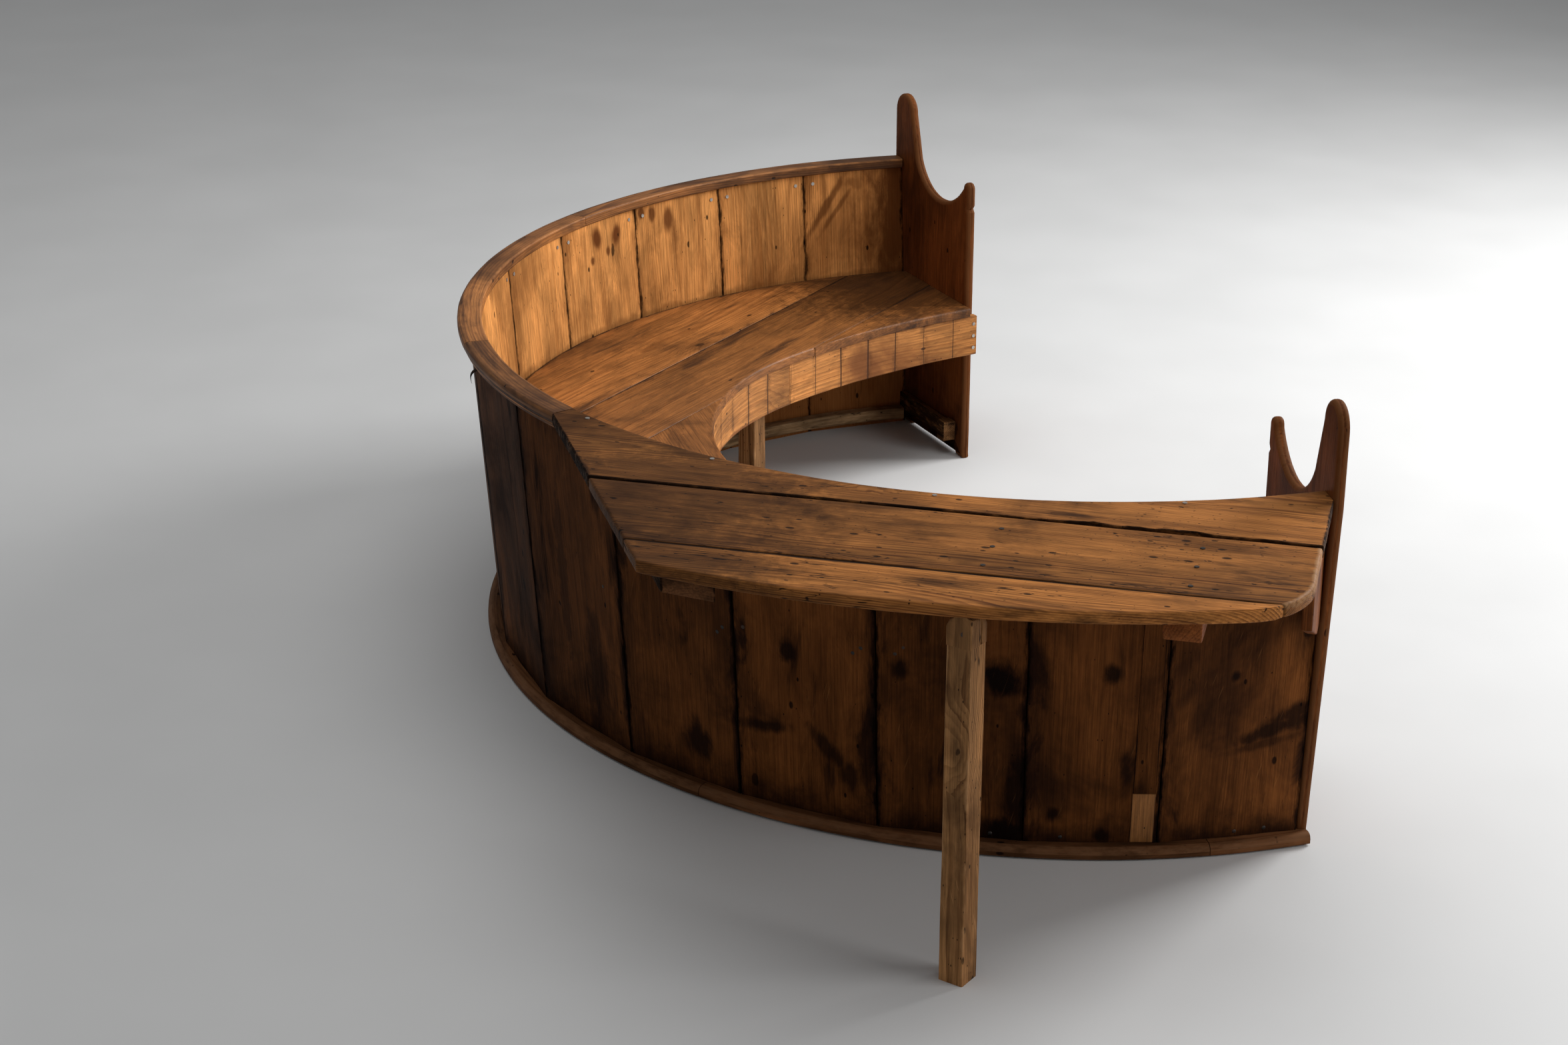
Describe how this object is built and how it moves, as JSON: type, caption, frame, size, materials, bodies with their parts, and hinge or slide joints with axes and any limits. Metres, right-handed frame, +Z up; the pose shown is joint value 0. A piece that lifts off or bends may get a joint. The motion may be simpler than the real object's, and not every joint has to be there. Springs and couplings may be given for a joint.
{
  "type": "settle with folding table",
  "caption": "Semicircular pine settle with a coopered back, horned end panels, a curved seat and a drop-leaf table on a folding leg.",
  "frame": {"origin": "on the floor, at the centre of the circle of the back", "axes": "+Z up, +Y to the closed end of the curve, +X to the far arm; the table is at -X"},
  "size_m": [3.1358, 1.4846, 0.917],
  "materials": {
    "back_pine": "satin",
    "seat_pine": "satin",
    "table_pine": "satin",
    "trim_pine": "satin",
    "iron": "matte",
    "nail_steel": "satin"
  },
  "bodies": {
    "settle_frame": {"apron_far": "trim_pine", "apron_middle": "trim_pine", "apron_near": "trim_pine", "arm_bearer_far": "trim_pine", "arm_bearer_near": "trim_pine", "back_stave_01": "back_pine", "back_stave_02": "back_pine", "back_stave_03": "back_pine", "back_stave_04": "back_pine", "back_stave_05": "back_pine", "back_stave_06": "back_pine", "back_stave_07": "back_pine", "back_stave_08": "back_pine", "back_stave_09": "back_pine", "back_stave_10": "back_pine", "back_stave_11": "back_pine", "back_stave_12": "back_pine", "back_stave_13": "back_pine", "back_stave_14": "back_pine", "cap_bead": "trim_pine", "cap_rail_far": "trim_pine", "cap_rail_middle": "trim_pine", "cap_rail_near": "trim_pine", "far_end_panel": "back_pine", "foot_batten_far": "trim_pine", "foot_batten_near": "trim_pine", "foot_blocks": "trim_pine", "frame_nails": "nail_steel", "hinge_frame_straps": "iron", "hinge_pins": "iron", "inner_sill_far": "trim_pine", "inner_sill_near": "trim_pine", "near_end_panel": "back_pine", "plinth_far": "trim_pine", "plinth_middle": "trim_pine", "plinth_near": "trim_pine", "plinth_return": "trim_pine", "seat_arm_board_far": "seat_pine", "seat_arm_board_near": "seat_pine", "seat_bearer_far": "trim_pine", "seat_bearer_near": "trim_pine", "seat_corner_board": "seat_pine", "seat_inner_board_far": "seat_pine", "seat_inner_board_near": "seat_pine", "seat_outer_board_far": "seat_pine", "seat_outer_board_near": "seat_pine", "seat_post_far": "trim_pine", "seat_post_near": "trim_pine", "table_end_bracket": "trim_pine", "table_fixed_board": "table_pine"},
    "table_leaf": {"leaf_middle_board": "table_pine", "leaf_outer_board": "table_pine", "leaf_cleat_near": "table_pine", "leaf_cleat_far": "table_pine", "hinge_leaf_straps": "iron", "leg_hanger": "iron", "leg_pivot_pin": "iron", "leaf_nails": "nail_steel"},
    "table_leg": {"leg": "trim_pine"}
  },
  "joints": [
    {"name": "leaf_fold", "type": "hinge", "parent": "settle_frame", "child": "table_leaf", "pos_m": [-1.19858, 0.692, 0.708], "axis": [-0.5, -0.866, 0], "range_deg": [0, 90]},
    {"name": "leg_fold", "type": "hinge", "parent": "table_leaf", "child": "table_leg", "pos_m": [-1.59488, 0.7476, 0.678], "axis": [-0.866, 0.5, 0], "range_deg": [0, 90]}
  ],
  "couplings": [
    {"joint": "leg_fold", "follows": "leaf_fold", "ratio": 1}
  ]
}
